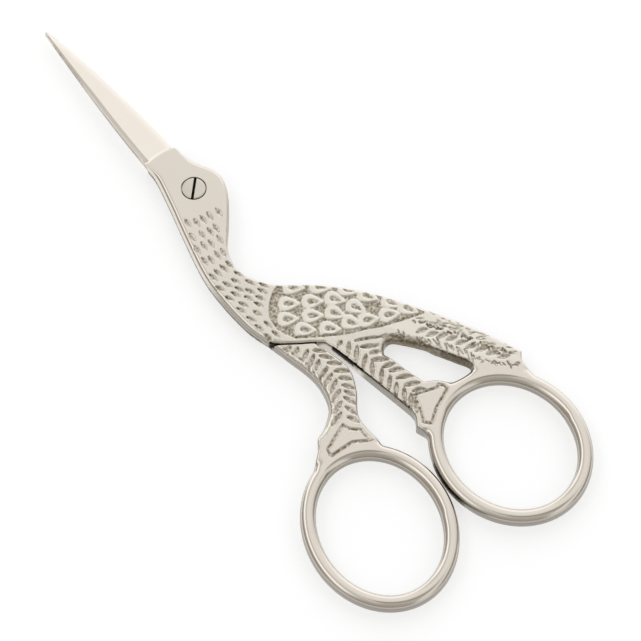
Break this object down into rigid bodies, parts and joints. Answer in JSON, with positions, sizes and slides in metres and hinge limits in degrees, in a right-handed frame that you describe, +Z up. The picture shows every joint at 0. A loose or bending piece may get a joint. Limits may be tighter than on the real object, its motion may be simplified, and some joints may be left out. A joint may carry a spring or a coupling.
{
  "type": "embroidery scissors",
  "caption": "Stork-shaped embroidery scissors: decorated plated-steel halves crossing on a slotted pivot screw, with slim pointed blades and oval finger rings.",
  "frame": {"origin": "on the pivot axis, at the flush tail of the pivot screw, in the plane that the closed scissors lie on", "axes": "+X towards the blade tips, +Z up out of the front face, +Y towards the finger ring of the rear half"},
  "size_m": [0.1151, 0.0474, 0.003],
  "materials": {
    "plated_steel": "nickel-plated forged steel, polished, with darkened hollows in the relief",
    "screw_steel": "turned and plated steel, faced flush with the head"
  },
  "bodies": {
    "rear": {"rear_half": "plated_steel", "pivot_screw": "screw_steel"},
    "front": {"front_half": "plated_steel"}
  },
  "joints": [
    {"name": "blade_pivot", "type": "hinge", "parent": "rear", "child": "front", "pos_m": [0, 0, 0], "axis": [0, 0, 1], "range_deg": [0, 90]}
  ]
}
